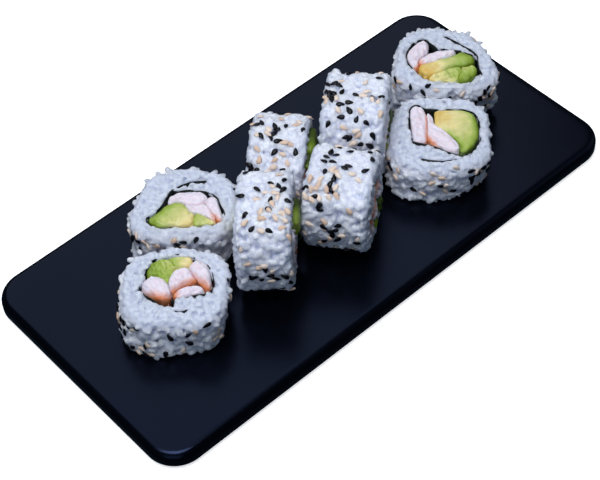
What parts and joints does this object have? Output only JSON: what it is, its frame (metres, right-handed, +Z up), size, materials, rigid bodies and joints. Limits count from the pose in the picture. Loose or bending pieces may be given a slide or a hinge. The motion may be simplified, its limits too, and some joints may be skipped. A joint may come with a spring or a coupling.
{
  "type": "uramaki roll",
  "caption": "Slices of inside-out sushi roll with prawn and avocado, coated in sesame, served on a flat rectangular dark plate with rounded corners.",
  "frame": {"origin": "middle of the plate's flat underside", "axes": "+X along the plate's long side, +Y across it, +Z up"},
  "size_m": [0.234, 0.1126, 0.05],
  "materials": {
    "plate_glaze": "satin black glaze",
    "rice": "moist, translucent",
    "nori": "damp, dark",
    "avocado": "soft, moist",
    "prawn": "moist, pink edge"
  },
  "bodies": {
    "root": {"avocado_bar_6": "avocado", "avocado_bar_8": "avocado", "avocado_end_2": "avocado", "avocado_end_4": "avocado", "avocado_flesh_1": "avocado", "avocado_flesh_5": "avocado", "avocado_half_3": "avocado", "avocado_half_7": "avocado", "avocado_low_6": "avocado", "avocado_low_8": "avocado", "avocado_lump_6": "avocado", "avocado_lump_8": "avocado", "avocado_slab_2": "avocado", "avocado_slab_4": "avocado", "avocado_slice_1": "avocado", "avocado_slice_5": "avocado", "nori_1": "nori", "nori_2": "nori", "nori_3": "nori", "nori_4": "nori", "nori_5": "nori", "nori_6": "nori", "nori_7": "nori", "nori_8": "nori", "plate": "plate_glaze", "prawn_back_2": "prawn", "prawn_back_4": "prawn", "prawn_bar_6": "prawn", "prawn_bar_8": "prawn", "prawn_left_1": "prawn", "prawn_left_3": "prawn", "prawn_left_5": "prawn", "prawn_left_6": "prawn", "prawn_left_7": "prawn", "prawn_left_8": "prawn", "prawn_low_1": "prawn", "prawn_low_5": "prawn", "prawn_middle_1": "prawn", "prawn_middle_2": "prawn", "prawn_middle_4": "prawn", "prawn_middle_5": "prawn", "prawn_right_1": "prawn", "prawn_right_2": "prawn", "prawn_right_3": "prawn", "prawn_right_4": "prawn", "prawn_right_5": "prawn", "prawn_right_7": "prawn", "rice_1": "rice", "rice_2": "rice", "rice_3": "rice", "rice_4": "rice", "rice_5": "rice", "rice_6": "rice", "rice_7": "rice", "rice_8": "rice"}
  },
  "joints": []
}
